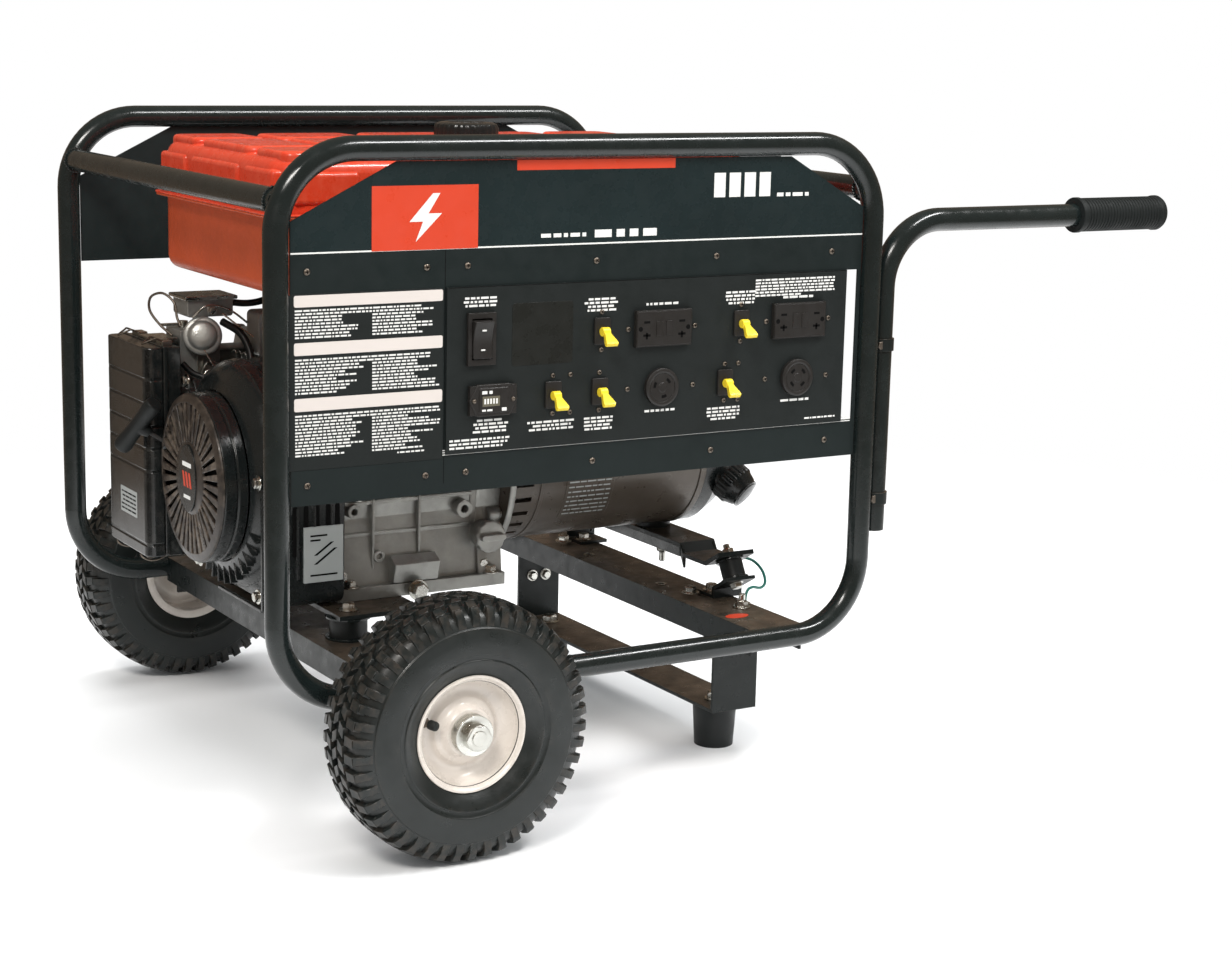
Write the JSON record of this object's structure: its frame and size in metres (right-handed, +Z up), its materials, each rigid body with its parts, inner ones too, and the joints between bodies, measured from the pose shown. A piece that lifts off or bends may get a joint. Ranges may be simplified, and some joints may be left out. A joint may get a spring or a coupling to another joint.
{
  "type": "portable generator",
  "caption": "Petrol generator in a round-tube frame with two wheels, stand feet, folding handles, a top tank and a socket panel.",
  "frame": {"origin": "on the floor, under the middle of the whole machine's box with the front handle out", "axes": "+X along the frame from the engine's pull starter to the alternator and the handles; +Y from the control panel to the back; +Z up"},
  "size_m": [1.1754, 0.8672, 0.7255],
  "materials": {
    "frame_black": "gloss",
    "panel_black": "satin",
    "control_black": "matt",
    "tank_red": "gloss",
    "cast_grey": "rough",
    "shroud_black": "satin",
    "barrel_brown": "satin",
    "steel": "zinc plated",
    "shaft_steel": "machined",
    "rubber": "matt",
    "tyre": "matt",
    "rim_cream": "gloss",
    "device_black": "satin",
    "lever_yellow": "satin",
    "rope": "braided",
    "muffler_steel": "heat stained",
    "wire_green": "satin"
  },
  "bodies": {
    "chassis": {"air_cleaner_case": "shroud_black", "air_cleaner_cover": "shroud_black", "alternator_adapter": "cast_grey", "alternator_channel": "frame_black", "axle": "steel", "brackets": "frame_black", "carburettor": "cast_grey", "circuit_breakers": "device_black", "control_box": "panel_black", "control_panel": "control_black", "crankcase": "cast_grey", "cylinder_head": "cast_grey", "end_cover": "shroud_black", "engine_channel": "frame_black", "fan_housing": "shroud_black", "fasteners": "steel", "foot_bracket": "frame_black", "front_loop": "frame_black", "front_panel": "panel_black", "fuel_hose": "rubber", "fuel_tank": "tank_red", "ground_wire": "wire_green", "instrument_cases": "device_black", "muffler": "muffler_steel", "panel_screws": "steel", "rear_loop": "frame_black", "rear_panel": "panel_black", "receptacles": "device_black", "recoil_cover": "shroud_black", "rubber_mounts": "rubber", "stand": "frame_black", "starter_rope": "rope", "stator_barrel": "barrel_brown", "top_crossbars": "frame_black"},
    "front_wheel": {"front_tyre": "tyre", "front_rim": "rim_cream", "front_wheel_disc": "rim_cream", "front_hub": "rim_cream"},
    "rear_wheel": {"rear_tyre": "tyre", "rear_rim": "rim_cream", "rear_wheel_disc": "rim_cream", "rear_hub": "rim_cream"},
    "front_handle": {"front_handle": "frame_black", "front_grip": "rubber"},
    "rear_handle": {"rear_handle": "frame_black", "rear_grip": "rubber"},
    "shaft": {"crankshaft": "shaft_steel", "flywheel": "shaft_steel", "rotor": "shaft_steel"},
    "recoil_grip": {"recoil_grip": "rubber"},
    "fuel_cap": {"fuel_cap": "shroud_black"},
    "oil_filler_cap": {"oil_filler_cap": "shroud_black"},
    "idle_rocker": {"idle_rocker": "device_black"},
    "throttle_lever": {"throttle_lever": "steel"},
    "choke_lever": {"choke_lever": "steel"},
    "breaker_toggle_1": {"breaker_toggle_1": "lever_yellow"},
    "breaker_toggle_2": {"breaker_toggle_2": "lever_yellow"},
    "breaker_toggle_3": {"breaker_toggle_3": "lever_yellow"},
    "breaker_toggle_4": {"breaker_toggle_4": "lever_yellow"},
    "breaker_toggle_5": {"breaker_toggle_5": "lever_yellow"},
    "test_button_1": {"test_button_1": "device_black"},
    "reset_button_1": {"reset_button_1": "device_black"},
    "test_button_2": {"test_button_2": "device_black"},
    "reset_button_2": {"reset_button_2": "device_black"}
  },
  "joints": [
    {"name": "front_wheel_spin", "type": "hinge", "parent": "chassis", "child": "front_wheel", "pos_m": [-0.40705, -0.38335, 0.1365], "axis": [0, 1, 0], "continuous": true},
    {"name": "rear_wheel_spin", "type": "hinge", "parent": "chassis", "child": "rear_wheel", "pos_m": [-0.40705, 0.38335, 0.1365], "axis": [0, 1, 0], "continuous": true},
    {"name": "front_handle_swing", "type": "hinge", "parent": "chassis", "child": "front_handle", "pos_m": [0.17375, -0.30015, 0.4], "axis": [0, 0, 1], "range_deg": [0, 90]},
    {"name": "rear_handle_swing", "type": "hinge", "parent": "chassis", "child": "rear_handle", "pos_m": [0.17375, 0.30015, 0.4], "axis": [0, 0, 1], "range_deg": [0, 90]},
    {"name": "shaft_spin", "type": "hinge", "parent": "chassis", "child": "shaft", "pos_m": [-0.27125, 0.00585, 0.332], "axis": [1, 0, 0], "continuous": true},
    {"name": "recoil_pull", "type": "slide", "parent": "chassis", "child": "recoil_grip", "axis": [-0.798, 0.2494, 0.5486], "range_m": [0, 0.55], "stiffness_N_per_m": 20, "springref_m": -0.3},
    {"name": "fuel_cap_turn", "type": "hinge", "parent": "chassis", "child": "fuel_cap", "pos_m": [-0.20825, -0.00815, 0.71], "axis": [0, 0, 1], "range_deg": [0, 90]},
    {"name": "oil_cap_turn", "type": "hinge", "parent": "chassis", "child": "oil_filler_cap", "pos_m": [-0.22625, -0.10635, 0.26], "axis": [0, -1, 0], "range_deg": [0, 720]},
    {"name": "breaker_1_switch", "type": "hinge", "parent": "chassis", "child": "breaker_toggle_1", "pos_m": [-0.26335, -0.32215, 0.4565], "axis": [1, 0, 0], "range_deg": [-70, 0]},
    {"name": "breaker_2_switch", "type": "hinge", "parent": "chassis", "child": "breaker_toggle_2", "pos_m": [-0.20695, -0.32215, 0.4565], "axis": [1, 0, 0], "range_deg": [-70, 0]},
    {"name": "breaker_3_switch", "type": "hinge", "parent": "chassis", "child": "breaker_toggle_3", "pos_m": [-0.04855, -0.32215, 0.4565], "axis": [1, 0, 0], "range_deg": [-70, 0]},
    {"name": "breaker_4_switch", "type": "hinge", "parent": "chassis", "child": "breaker_toggle_4", "pos_m": [-0.20555, -0.32215, 0.5205], "axis": [1, 0, 0], "range_deg": [-70, 0]},
    {"name": "breaker_5_switch", "type": "hinge", "parent": "chassis", "child": "breaker_toggle_5", "pos_m": [-0.02945, -0.32215, 0.5205], "axis": [1, 0, 0], "range_deg": [-70, 0]},
    {"name": "idle_rocker_tilt", "type": "hinge", "parent": "chassis", "child": "idle_rocker", "pos_m": [-0.34885, -0.31615, 0.5195], "axis": [1, 0, 0], "range_deg": [-14, 0]},
    {"name": "test_button_1_press", "type": "slide", "parent": "chassis", "child": "test_button_1", "axis": [0, 1, 0], "range_m": [0, 0.001], "stiffness_N_per_m": 300, "springref_m": -0.001},
    {"name": "reset_button_1_press", "type": "slide", "parent": "chassis", "child": "reset_button_1", "axis": [0, 1, 0], "range_m": [0, 0.001], "stiffness_N_per_m": 300, "springref_m": -0.001},
    {"name": "test_button_2_press", "type": "slide", "parent": "chassis", "child": "test_button_2", "axis": [0, 1, 0], "range_m": [0, 0.001], "stiffness_N_per_m": 300, "springref_m": -0.001},
    {"name": "reset_button_2_press", "type": "slide", "parent": "chassis", "child": "reset_button_2", "axis": [0, 1, 0], "range_m": [0, 0.001], "stiffness_N_per_m": 300, "springref_m": -0.001},
    {"name": "throttle_turn", "type": "hinge", "parent": "chassis", "child": "throttle_lever", "pos_m": [-0.48125, 0.17785, 0.478], "axis": [0, 0, 1], "range_deg": [-50, 20]},
    {"name": "choke_turn", "type": "hinge", "parent": "chassis", "child": "choke_lever", "pos_m": [-0.47525, 0.13985, 0.452], "axis": [0, 1, 0], "range_deg": [0, 70]}
  ]
}
